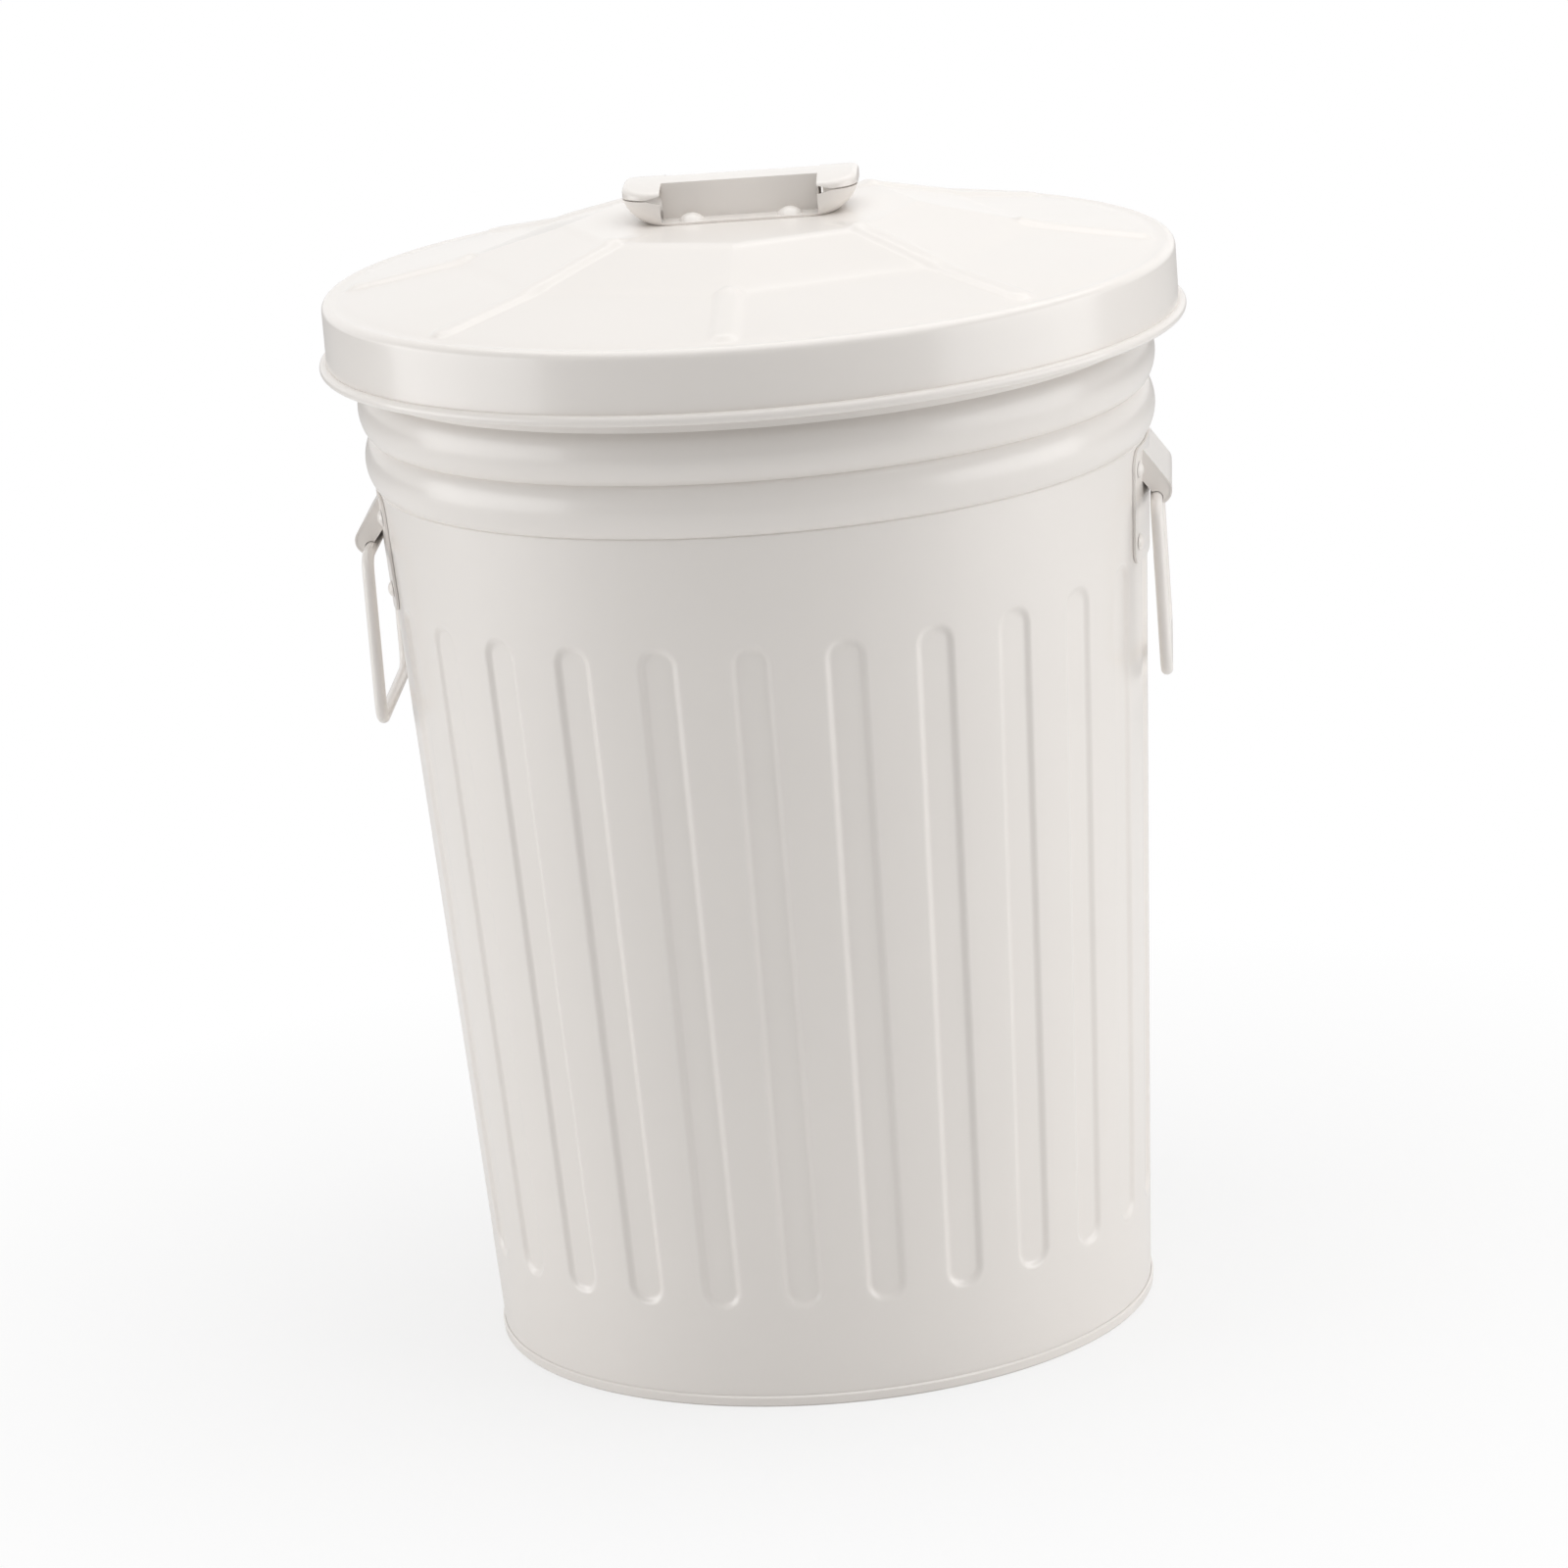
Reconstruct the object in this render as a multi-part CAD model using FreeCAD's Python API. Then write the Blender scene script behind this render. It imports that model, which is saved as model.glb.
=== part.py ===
import FreeCAD, Part
import math
import os

# A round, tapered steel bin with a lift-off lid, in millimetres.
# The origin is the middle of the foot on the floor and +Z is up. The two drop
# handles hang at -X and +X, and the grip on the lid runs along X.

V = FreeCAD.Vector
UP = V(0, 0, 1)

# ---- driving sizes ----------------------------------------------------------

# Sheet, and the film of paint left between sheets that lie on each other.
WALL_SHEET = 0.8
PAN_SHEET = 0.8
LID_SHEET = 0.8
PLATE_SHEET = 1.0
GRIP_SHEET = 1.0
PAINT_GAP = 0.15
WIRE_GAP = 0.2               # between an edge wire and the sheet curled around it

# Tapered wall.
FOOT_RADIUS = 137.2          # outside of the wall where it meets the floor
WALL_TAPER = 0.058           # radius gained for each millimetre of height
BEADS_START = 367.0          # height where the swaged beads begin
BEAD_COUNT = 2
BEAD_HEIGHT = 21.5
BEAD_PROUD = 3.6
NECK_HEIGHT = 26.5           # flared part between the top bead and the rolled rim

# Rolled rim.
RIM_WIRE = 5.0
RIM_SET_OUT = 4.2            # how far the wall flares out over the neck

# Flutes pressed into the wall.
FLUTE_COUNT = 26
FLUTE_LOW = 41.5
FLUTE_TOP_MARGIN = 44.0      # from the flutes' upper ends to the beads
FLUTE_WIDTH = 18.0
FLUTE_FLOOR_WIDTH = 10.4
FLUTE_DEPTH = 1.6
TOOL_LIFT = 1.2              # how far the cutting shapes stand out of the sheet

# Bottom pan.
PAN_HEIGHT = 8.0             # underside of the pan above the floor
PAN_STEP_RADIUS = 98.0
PAN_STEP_WIDTH = 5.0
PAN_STEP_RISE = 2.5
CHIME_HEIGHT = 4.6           # outer leg of the folded foot
CHIME_ROUND = 0.7

# Drop handles.
BAIL_WIRE = 5.0
BAIL_WIDTH = 94.0            # between the centre lines of the two legs
BAIL_DROP = 69.0             # between the centre lines of the top and bottom bars
BAIL_BEND = 7.0
PIVOT_GAP = 0.3              # between the wire and the plate or hood around it
PLATE_TOP_MARGIN = 1.0       # from the plate's upper edge to the beads
PLATE_ABOVE_PIVOT = 22.5
PLATE_BELOW_PIVOT = 25.5
PLATE_WIDTH = 84.0
PLATE_CORNER = 7.0
HOOD_LENGTH = 60.0
HOOD_BORE = 5.0              # inside radius of the hood's round
HOOD_ROOF_ANGLE = 35.0       # where the flat roof meets the round of the hood
HOOD_LIP_ANGLE = -70.0       # where the round ends in a lip
HOOD_REST_ANGLE = -35.0      # where the wire lies on the lip, seen from the wire
HOOD_ROOF_LENGTH = 22.0
HANDLE_ANGLE = 90.0          # around the bin, from the front to a handle's middle
PLATE_RIVET_ANGLE = 13.0     # around the bin, each side of the handle's middle
PLATE_RIVET_MARGIN = 9.0     # from the plate's upper and lower edges
PLATE_RIVET = dict(
    head_radius=3.5, head_height=1.7, shank_radius=1.6, tail_radius=2.6, tail_height=1.2,
)

# Lid.
LID_REST_GAP = 0.3           # between the lid and the rim that carries it
LID_SKIRT_GAP = 2.82         # between the skirt and the rim inside it
LID_SHOULDER = 3.5
LID_SHOULDER_RISE = 0.4      # shoulder above the groove beside it
LID_SKIRT_DROP = 29.3        # from the top of the shoulder to the bottom of the curl
LID_CURL_WIRE = 2.6
LID_GROOVE_SETBACK = 7.0     # setbacks are from the outside of the skirt
LID_EDGE_SETBACK = 12.0
LID_EDGE_RISE = 1.4          # heights from here on are above the groove
LID_RING_RADII = (120.0, 113.0)
LID_RING_RISES = (9.3, 11.6)
LID_TOP_RADII = (76.0, 72.0)
LID_TOP_RISES = (20.9, 22.4)
LID_SIDES = 8
RIB_RADIUS = 14.0
RIB_PROUD = 1.6
RIB_END_SETBACK = 15.0

# Grip on the lid.
GRIP_LENGTH = 96.0
GRIP_DEPTH = 44.0
GRIP_CORNER = 13.0
GRIP_HEIGHT = 16.0
GRIP_SEAM_HEIGHT = 10.4      # top edge of the tray
GRIP_SEAM_GAP = 0.6
GRIP_FOOT_INSET = (10.0, 0.8)    # along and across, from the tray's top edge to its foot
GRIP_BULGE_INSET = (4.2, 0.3)
GRIP_BULGE_HEIGHT = 3.6
GRIP_CROWN_RADIUS = 105.0
GRIP_EDGE_ROUND = 2.2
GRIP_WING_LENGTH = 16.0      # each end of the grip, beside the finger recesses
WEB_DEPTH = 18.2
NOTCH_LENGTH = 7.0
NOTCH_HEIGHT = 4.2
GRIP_RIVET_SPACING = 40.0
GRIP_RIVET = dict(
    head_radius=5.3, head_height=2.9, shank_radius=1.6, tail_radius=3.2, tail_height=1.6,
)
WASHER_RADIUS = 6.0
WASHER_SHEET = 1.0
RIVET_CLEARANCE = 0.25       # around a shank in its hole
RIVET_SEAT_GAP = 0.15        # under a rivet's head and tail on the curved wall
DRILL_REACH = 4.0            # how far a drill shape runs past the sheets on each side

# ---- sizes that follow ------------------------------------------------------

TAPER_ANGLE = math.degrees(math.atan(WALL_TAPER))
FLUTE_HIGH = BEADS_START - FLUTE_TOP_MARGIN
PLATE_HIGH = BEADS_START - PLATE_TOP_MARGIN
PIVOT_HEIGHT = PLATE_HIGH - PLATE_ABOVE_PIVOT
PLATE_LOW = PIVOT_HEIGHT - PLATE_BELOW_PIVOT
NECK_START = BEADS_START + BEAD_COUNT * BEAD_HEIGHT
RIM_TUBE = RIM_WIRE / 2 + WIRE_GAP + WALL_SHEET
RIM_CENTRE_HEIGHT = NECK_START + NECK_HEIGHT + RIM_TUBE
LID_CURL_TUBE = LID_CURL_WIRE / 2 + WIRE_GAP + LID_SHEET


def wall_radius(height):
    """Outside of the tapered wall at a height."""
    return FOOT_RADIUS + WALL_TAPER * height


RIM_WALL_RADIUS = wall_radius(NECK_START) + RIM_SET_OUT
RIM_CENTRE_RADIUS = RIM_WALL_RADIUS - WALL_SHEET + RIM_TUBE
RIM_TOP = RIM_CENTRE_HEIGHT + RIM_TUBE

LID_RADIUS = RIM_CENTRE_RADIUS + RIM_TUBE + LID_SKIRT_GAP + LID_SHEET
LID_GROOVE_RADIUS = LID_RADIUS - LID_GROOVE_SETBACK
LID_EDGE_RADIUS = LID_RADIUS - LID_EDGE_SETBACK
RIB_OUTER_END = LID_RADIUS - RIB_END_SETBACK
GROOVE_HEIGHT = RIM_TOP + LID_REST_GAP + LID_SHEET
LID_TOP = GROOVE_HEIGHT + LID_TOP_RISES[-1]
SHOULDER_TOP = GROOVE_HEIGHT + LID_SHOULDER_RISE
CURL_CENTRE_HEIGHT = SHOULDER_TOP - LID_SKIRT_DROP + LID_CURL_TUBE
CURL_CENTRE_RADIUS = LID_RADIUS + LID_CURL_TUBE - 2 * LID_SHEET

PIVOT_RADIUS = wall_radius(PIVOT_HEIGHT) + PAINT_GAP + PLATE_SHEET + PIVOT_GAP + BAIL_WIRE / 2
RECESS_LENGTH = GRIP_LENGTH - 2 * GRIP_WING_LENGTH


# ---- helpers ----------------------------------------------------------------

def section_point(radius, height):
    """A point of a section that is turned about the bin's axis."""
    return V(radius, 0, height)


def polar(radius, angle, height):
    """A point at an angle in degrees, counted from -Y towards +X."""
    turn = math.radians(angle)
    return V(radius * math.sin(turn), -radius * math.cos(turn), height)


def line(start, end):
    return Part.LineSegment(start, end).toShape()


def arc(start, middle, end):
    return Part.Arc(start, middle, end).toShape()


def face_of(edges):
    return Part.Face(Part.Wire(Part.__sortEdges__(edges)))


def polygon_face(points):
    return Part.Face(Part.makePolygon(points + points[:1]))


def turned(face, angle=360.0):
    """The solid that a face sweeps about the bin's axis."""
    return face.revolve(V(0, 0, 0), UP, angle)


def about_axis(shape, angle):
    """A copy of a shape turned about the bin's axis, in degrees."""
    copy = shape.copy()
    copy.rotate(V(0, 0, 0), UP, angle)
    return copy


def joined(first, *others):
    return first.fuse(list(others)).removeSplitter()


def rod(start, end, radius):
    along = end - start
    return Part.makeCylinder(radius, along.Length, start, along)


def ball(centre, radius):
    return Part.makeSphere(radius, centre)


def tube_ring(ring_radius, height, tube_radius, bore_radius):
    """A closed curl of sheet around a wire ring."""
    curl = Part.makeTorus(ring_radius, tube_radius, V(0, 0, height))
    bore = Part.makeTorus(ring_radius, bore_radius, V(0, 0, height))
    return curl.cut(bore)


def rounded_wire(half_x, half_y, corner, height):
    """A level rectangle with round corners, as a closed wire."""
    edges = []
    slant = corner * (1 - math.sqrt(0.5))
    corners = [(1, 1), (-1, 1), (-1, -1), (1, -1)]
    for index, (sx, sy) in enumerate(corners):
        on_side = V(sx * half_x, sy * (half_y - corner), height)
        on_end = V(sx * (half_x - corner), sy * half_y, height)
        middle = V(sx * (half_x - slant), sy * (half_y - slant), height)
        first, last = (on_side, on_end) if index % 2 == 0 else (on_end, on_side)
        edges.append(arc(first, middle, last))
        next_x, next_y = corners[(index + 1) % 4]
        if index % 2 == 0:
            follow = V(next_x * (half_x - corner), next_y * half_y, height)
        else:
            follow = V(next_x * half_x, next_y * (half_y - corner), height)
        edges.append(line(last, follow))
    return Part.Wire(edges)


def rounded_block(half_x, half_y, corner, low, high):
    return Part.Face(rounded_wire(half_x, half_y, corner, low)).extrude(V(0, 0, high - low))


def dome(radius, rise):
    """A spherical cap that stands on z = 0."""
    sphere = (radius ** 2 + rise ** 2) / (2 * rise)
    whole = ball(V(0, 0, rise - sphere), sphere)
    slab = Part.makeCylinder(2 * radius, rise, V(0, 0, 0))
    return whole.common(slab)


def rivet(head_radius, head_height, shank_radius, tail_radius, tail_height, grip):
    """A round-headed rivet along Z: its head stands on z = 0 and it grips down to -grip."""
    shank = rod(V(0, 0, 0), V(0, 0, -grip), shank_radius)
    tail = dome(tail_radius, tail_height)
    tail.rotate(V(0, 0, 0), V(1, 0, 0), 180)
    tail.translate(V(0, 0, -grip))
    return joined(dome(head_radius, head_height), shank, tail)


# ---- wall -------------------------------------------------------------------

def wall_outline(inset, foot_height):
    """The wall's outline from the foot to the rim, moved inwards by inset."""
    def at(height, proud=0.0):
        return section_point(wall_radius(height) + proud - inset, height)

    edges = [line(at(foot_height), at(BEADS_START))]
    for index in range(BEAD_COUNT):
        low = BEADS_START + index * BEAD_HEIGHT
        middle = low + BEAD_HEIGHT / 2
        edges.append(arc(at(low), at(middle, BEAD_PROUD), at(low + BEAD_HEIGHT)))
    flare_end = section_point(RIM_WALL_RADIUS - inset, NECK_START + NECK_HEIGHT)
    flare_middle = at(NECK_START + NECK_HEIGHT / 2, RIM_SET_OUT * 0.3)
    edges.append(arc(at(NECK_START), flare_middle, flare_end))
    edges.append(line(flare_end, section_point(RIM_WALL_RADIUS - inset, RIM_CENTRE_HEIGHT)))
    return edges


def filled_wall(inset, foot_height, top_height):
    """A solid of revolution under the wall's outline, carried straight on above it."""
    edges = wall_outline(inset, foot_height)
    bottom = edges[0].Vertexes[0].Point
    top = edges[-1].Vertexes[-1].Point
    if top_height > top.z:
        higher = V(top.x, 0, top_height)
        edges.append(line(top, higher))
        top = higher
    edges.append(line(top, V(0, 0, top.z)))
    edges.append(line(V(0, 0, top.z), V(0, 0, bottom.z)))
    edges.append(line(V(0, 0, bottom.z), bottom))
    return turned(face_of(edges))


def flute_tool(depth, floor_half_width):
    """A long round-ended tray shape sunk to a depth in the front of the wall."""
    lean = math.radians(TAPER_ANGLE)
    out = V(0, -math.cos(lean), -math.sin(lean))
    along = V(0, -math.sin(lean), math.cos(lean))
    origin = V(0, -FOOT_RADIUS, 0)
    spread = (FLUTE_WIDTH - FLUTE_FLOOR_WIDTH) / 2 / FLUTE_DEPTH
    low = FLUTE_LOW / math.cos(lean) + FLUTE_WIDTH / 2
    high = FLUTE_HIGH / math.cos(lean) - FLUTE_WIDTH / 2

    def outline(level, half_width):
        def at(across, up):
            return origin + V(across, 0, 0) + along * up + out * level

        return Part.Wire([
            line(at(half_width, low), at(half_width, high)),
            arc(at(half_width, high), at(0, high + half_width), at(-half_width, high)),
            line(at(-half_width, high), at(-half_width, low)),
            arc(at(-half_width, low), at(0, low - half_width), at(half_width, low)),
        ])

    mouth = outline(TOOL_LIFT, floor_half_width + (depth + TOOL_LIFT) * spread)
    return Part.makeLoft([mouth, outline(-depth, floor_half_width)], True, True)


def flute_tools(depth, floor_half_width):
    tool = flute_tool(depth, floor_half_width)
    step = 360.0 / FLUTE_COUNT
    return [about_axis(tool, index * step) for index in range(FLUTE_COUNT)]


def plate_rivet_places(side):
    """Angle and height of each rivet of one handle plate."""
    middle = HANDLE_ANGLE * side
    return [
        (middle + offset, height)
        for offset in (-PLATE_RIVET_ANGLE, PLATE_RIVET_ANGLE)
        for height in (PLATE_LOW + PLATE_RIVET_MARGIN, PLATE_HIGH - PLATE_RIVET_MARGIN)
    ]


def plate_rivet_holes(side):
    """Drill shapes through the plate and the wall."""
    radius = PLATE_RIVET["shank_radius"] + RIVET_CLEARANCE
    holes = []
    for angle, height in plate_rivet_places(side):
        middle = polar(wall_radius(height), angle, height)
        reach = wall_normal(angle) * DRILL_REACH
        holes.append(rod(middle - reach, middle + reach, radius))
    return holes


def wall_normal(angle):
    """Unit vector square to the wall, pointing out of the bin."""
    lean = math.radians(TAPER_ANGLE)
    flat = polar(1.0, angle, 0)
    return flat * math.cos(lean) - UP * math.sin(lean)


def body_shell():
    """The swaged and fluted wall with its rolled rim."""
    foot_height = PAN_SHEET + PAINT_GAP
    outside = filled_wall(0, foot_height, 0).cut(flute_tools(FLUTE_DEPTH, FLUTE_FLOOR_WIDTH / 2))
    side_angle = math.atan2(FLUTE_DEPTH, (FLUTE_WIDTH - FLUTE_FLOOR_WIDTH) / 2)
    floor_half_width = FLUTE_FLOOR_WIDTH / 2 + WALL_SHEET * math.tan(side_angle / 2)
    inside = filled_wall(WALL_SHEET, foot_height - 1, RIM_TOP)
    inside = inside.cut(flute_tools(FLUTE_DEPTH + WALL_SHEET, floor_half_width))
    curl = tube_ring(RIM_CENTRE_RADIUS, RIM_CENTRE_HEIGHT, RIM_TUBE, RIM_TUBE - WALL_SHEET)
    shell = outside.cut(inside).fuse(curl)
    return shell.cut(plate_rivet_holes(-1) + plate_rivet_holes(1))


def rim_wire():
    return Part.makeTorus(RIM_CENTRE_RADIUS, RIM_WIRE / 2, V(0, 0, RIM_CENTRE_HEIGHT))


def base_pan():
    """The bottom, folded round the wall's lower edge to make the foot."""
    def inner_leg(height, depth=0.0):
        radius = wall_radius(height) - WALL_SHEET - PAINT_GAP - depth
        return section_point(radius, height)

    def outer_leg(height, depth=0.0):
        return section_point(wall_radius(height) + PAINT_GAP + depth, height)

    floor = PAN_HEIGHT
    raised = PAN_HEIGHT + PAN_STEP_RISE
    step_end = PAN_STEP_RADIUS + PAN_STEP_WIDTH
    foot_edge = outer_leg(0, PAN_SHEET)
    chime_top = outer_leg(CHIME_HEIGHT, PAN_SHEET)
    rounded = CHIME_ROUND
    points = [
        V(0, 0, raised),
        V(PAN_STEP_RADIUS, 0, raised),
        V(step_end, 0, floor),
        inner_leg(floor, PAN_SHEET),
        inner_leg(0, PAN_SHEET),
        foot_edge - V(rounded, 0, 0),
        foot_edge + V(0, 0, rounded),
        chime_top - V(0, 0, rounded),
        chime_top - V(rounded, 0, 0),
        outer_leg(CHIME_HEIGHT),
        outer_leg(PAN_SHEET),
        inner_leg(PAN_SHEET),
        inner_leg(floor + PAN_SHEET),
        V(step_end, 0, floor + PAN_SHEET),
        V(PAN_STEP_RADIUS, 0, raised + PAN_SHEET),
        V(0, 0, raised + PAN_SHEET),
    ]
    return turned(polygon_face(points))


# ---- drop handles -----------------------------------------------------------

def on_side(shape, side):
    """A shape made for the +X side, or its copy half a turn round for -X."""
    return shape if side > 0 else about_axis(shape, 180.0)


def plate_sheet():
    """The curved sheet of a handle plate that lies on the +X side of the wall."""
    inner = PAINT_GAP
    outer = PAINT_GAP + PLATE_SHEET
    section = polygon_face([
        section_point(wall_radius(PLATE_LOW) + inner, PLATE_LOW),
        section_point(wall_radius(PLATE_LOW) + outer, PLATE_LOW),
        section_point(wall_radius(PLATE_HIGH) + outer, PLATE_HIGH),
        section_point(wall_radius(PLATE_HIGH) + inner, PLATE_HIGH),
    ])
    band = about_axis(turned(section, 60.0), -30.0)
    half_height = (PLATE_HIGH - PLATE_LOW) / 2
    outline = rounded_block(half_height, PLATE_WIDTH / 2, PLATE_CORNER, 0, 2 * FOOT_RADIUS)
    outline.rotate(V(0, 0, 0), V(0, 1, 0), 90)
    outline.translate(V(0, 0, PLATE_LOW + half_height))
    return band.common(outline)


def hood():
    """The sheet hood whose lip carries the bail's top bar against the plate, open below."""
    def aside(start, radius, angle):
        turn = math.radians(angle)
        return start + V(radius * math.cos(turn), 0, radius * math.sin(turn))

    inner = HOOD_BORE
    outer = inner + PLATE_SHEET
    wire_middle = section_point(PIVOT_RADIUS, PIVOT_HEIGHT)
    lip = aside(wire_middle, BAIL_WIRE / 2 + PIVOT_GAP, HOOD_REST_ANGLE)
    centre = aside(lip, -inner, HOOD_LIP_ANGLE)

    def around(radius, angle):
        return aside(centre, radius, angle)

    roof_turn = math.radians(HOOD_ROOF_ANGLE)
    roof = V(-math.sin(roof_turn), 0, math.cos(roof_turn)) * HOOD_ROOF_LENGTH
    middle_angle = (HOOD_ROOF_ANGLE + HOOD_LIP_ANGLE) / 2
    outer_start = around(outer, HOOD_ROOF_ANGLE)
    inner_start = around(inner, HOOD_ROOF_ANGLE)
    section = face_of([
        line(outer_start + roof, outer_start),
        arc(outer_start, around(outer, middle_angle), around(outer, HOOD_LIP_ANGLE)),
        line(around(outer, HOOD_LIP_ANGLE), around(inner, HOOD_LIP_ANGLE)),
        arc(around(inner, HOOD_LIP_ANGLE), around(inner, middle_angle), inner_start),
        line(inner_start, inner_start + roof),
        line(inner_start + roof, outer_start + roof),
    ])
    section.translate(V(0, -HOOD_LENGTH / 2, 0))
    strip = section.extrude(V(0, HOOD_LENGTH, 0))
    cone_top = PLATE_HIGH + HOOD_ROOF_LENGTH
    inside_plate = Part.makeCone(
        wall_radius(PLATE_LOW) + PAINT_GAP,
        wall_radius(cone_top) + PAINT_GAP,
        cone_top - PLATE_LOW,
        V(0, 0, PLATE_LOW),
    )
    return strip.cut(inside_plate)


def handle_plate(side):
    """A plate with its hood, drilled for four rivets."""
    plate = on_side(joined(plate_sheet(), hood()), side)
    return plate.cut(plate_rivet_holes(side))


def plate_rivets(side):
    """Four rivets that hold a handle plate to the wall."""
    grip = PLATE_SHEET + WALL_SHEET + PAINT_GAP + 2 * RIVET_SEAT_GAP
    head_seat = PAINT_GAP + PLATE_SHEET + RIVET_SEAT_GAP
    solids = []
    for angle, height in plate_rivet_places(side):
        piece = rivet(grip=grip, **PLATE_RIVET)
        out = wall_normal(angle)
        piece.Placement = FreeCAD.Placement(
            polar(wall_radius(height), angle, height) + out * head_seat,
            FreeCAD.Rotation(UP, out),
        )
        solids.append(piece)
    return Part.makeCompound(solids)


def bail(side):
    """A closed wire ring that hangs from the hood."""
    radius = BAIL_WIRE / 2
    half = BAIL_WIDTH / 2
    top = PIVOT_HEIGHT
    bottom = PIVOT_HEIGHT - BAIL_DROP

    def at(across, height):
        return V(PIVOT_RADIUS, across, height)

    pieces = [
        rod(at(BAIL_BEND - half, top), at(half - BAIL_BEND, top), radius),
        rod(at(BAIL_BEND - half, bottom), at(half - BAIL_BEND, bottom), radius),
    ]
    for sign in (-1, 1):
        leg = sign * half
        pieces.append(rod(at(leg, bottom + BAIL_BEND), at(leg, top - BAIL_BEND), radius))
        for height, step in ((top, -1), (bottom, 1)):
            centre = at(sign * (half - BAIL_BEND), height + step * BAIL_BEND)
            elbow = Part.makeTorus(BAIL_BEND, radius, centre, V(1, 0, 0))
            corner_low = V(-radius, 0, 0) + centre
            corner_size = BAIL_BEND + 2 * radius
            corner = Part.makeBox(2 * radius, corner_size, corner_size, V(0, 0, 0))
            shift_y = 0 if sign > 0 else -corner_size
            shift_z = 0 if step < 0 else -corner_size
            corner.translate(corner_low + V(0, shift_y, shift_z))
            pieces.append(elbow.common(corner))
    return on_side(joined(*pieces), side)


# ---- lid --------------------------------------------------------------------

def lid_levels():
    """Radius and height of the lid's facet rings, from the edge to the flat top."""
    levels = [(LID_EDGE_RADIUS, GROOVE_HEIGHT + LID_EDGE_RISE)]
    for radius, rise in zip(LID_RING_RADII + LID_TOP_RADII, LID_RING_RISES + LID_TOP_RISES):
        levels.append((radius, GROOVE_HEIGHT + rise))
    return levels


def facet_ring(radius, height, straight):
    """Eight edges round the lid, straight or on a circle, between the lines of the ribs."""
    step = 360.0 / LID_SIDES
    edges = []
    for index in range(LID_SIDES):
        start = polar(radius, index * step, height)
        end = polar(radius, (index + 1) * step, height)
        if straight:
            edges.append(line(start, end))
        else:
            edges.append(arc(start, polar(radius, (index + 0.5) * step, height), end))
    return edges


def faceted_cap(drop):
    """The solid under the lid's facets, lowered by drop."""
    levels = lid_levels()
    base_height = CURL_CENTRE_HEIGHT
    rings = [facet_ring(levels[0][0], base_height - drop, False)]
    rings.append(facet_ring(levels[0][0], levels[0][1] - drop, False))
    for radius, height in levels[1:]:
        rings.append(facet_ring(radius, height - drop, True))
    faces = [Part.Face(Part.Wire(rings[0])), Part.Face(Part.Wire(rings[-1]))]
    for lower, upper in zip(rings, rings[1:]):
        for low_edge, high_edge in zip(lower, upper):
            faces.append(Part.makeRuledSurface(low_edge, high_edge))
    shell = Part.makeShell(faces)
    shell.sewShape()
    solid = Part.makeSolid(Part.Shell(shell.Faces))
    if solid.Volume < 0:
        solid.reverse()
    return solid


def lid_border(inset, bottom):
    """The solid ring outside the facets: groove, round shoulder and skirt."""
    edge_height = GROOVE_HEIGHT + LID_EDGE_RISE - inset
    groove_height = GROOVE_HEIGHT - inset
    outer = LID_RADIUS - inset
    bend = LID_SHOULDER - inset
    top = SHOULDER_TOP - inset
    bend_centre = section_point(outer - bend, top - bend)
    slant = bend * math.sqrt(0.5)
    points = [
        section_point(LID_EDGE_RADIUS, edge_height),
        section_point(LID_GROOVE_RADIUS, groove_height),
        section_point(outer - bend, top),
    ]
    edges = [line(points[0], points[1]), line(points[1], points[2])]
    edges.append(arc(points[2], bend_centre + V(slant, 0, slant), section_point(outer, top - bend)))
    edges.append(line(section_point(outer, top - bend), section_point(outer, bottom)))
    edges.append(line(section_point(outer, bottom), section_point(LID_EDGE_RADIUS, bottom)))
    edges.append(line(section_point(LID_EDGE_RADIUS, bottom), points[0]))
    return turned(face_of(edges))


def rib_paths():
    """Angle and surface points of each rib: long ones to the flat top, short ones to the ring."""
    levels = lid_levels()
    ring_point = (
        (levels[1][0] + levels[2][0]) / 2,
        (levels[1][1] + levels[2][1]) / 2,
    )
    top_point = levels[3]
    edge_radius, edge_height = levels[0]
    ring_radius, ring_height = levels[1]
    share = (RIB_OUTER_END - edge_radius) / (ring_radius - edge_radius)
    outer_point = (RIB_OUTER_END, edge_height + share * (ring_height - edge_height))
    paths = []
    for index in range(LID_SIDES):
        points = [outer_point, ring_point]
        if index % 2:
            points.append(top_point)
        paths.append((index * 360.0 / LID_SIDES, points))
    return paths


def ribs(drop):
    """Round ribs whose backs stand proud of the lid's surface, lowered by drop."""
    sunk = RIB_RADIUS - RIB_PROUD + drop
    pieces = []
    for angle, points in rib_paths():
        places = [polar(radius, angle, height - sunk) for radius, height in points]
        pieces += [ball(place, RIB_RADIUS) for place in places]
        pieces += [rod(start, end, RIB_RADIUS) for start, end in zip(places, places[1:])]
    return pieces


def lid_form(inset, bottom):
    """Everything under the lid's surface, moved inwards by inset."""
    return faceted_cap(inset).fuse(lid_border(inset, bottom)).fuse(ribs(inset))


def grip_rivet_places():
    """Middles of the four rivets under the grip."""
    half_x = GRIP_RIVET_SPACING / 2
    tray_edge = GRIP_DEPTH / 2 - GRIP_FOOT_INSET[1]
    half_y = (WEB_DEPTH / 2 + tray_edge) / 2
    return [V(sx * half_x, sy * half_y, LID_TOP) for sx in (-1, 1) for sy in (-1, 1)]


def grip_rivet_holes():
    """Drill shapes through the tray, the lid and the washers."""
    reach = UP * DRILL_REACH
    radius = GRIP_RIVET["shank_radius"] + RIVET_CLEARANCE
    return [rod(place - reach, place + reach, radius) for place in grip_rivet_places()]


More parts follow.
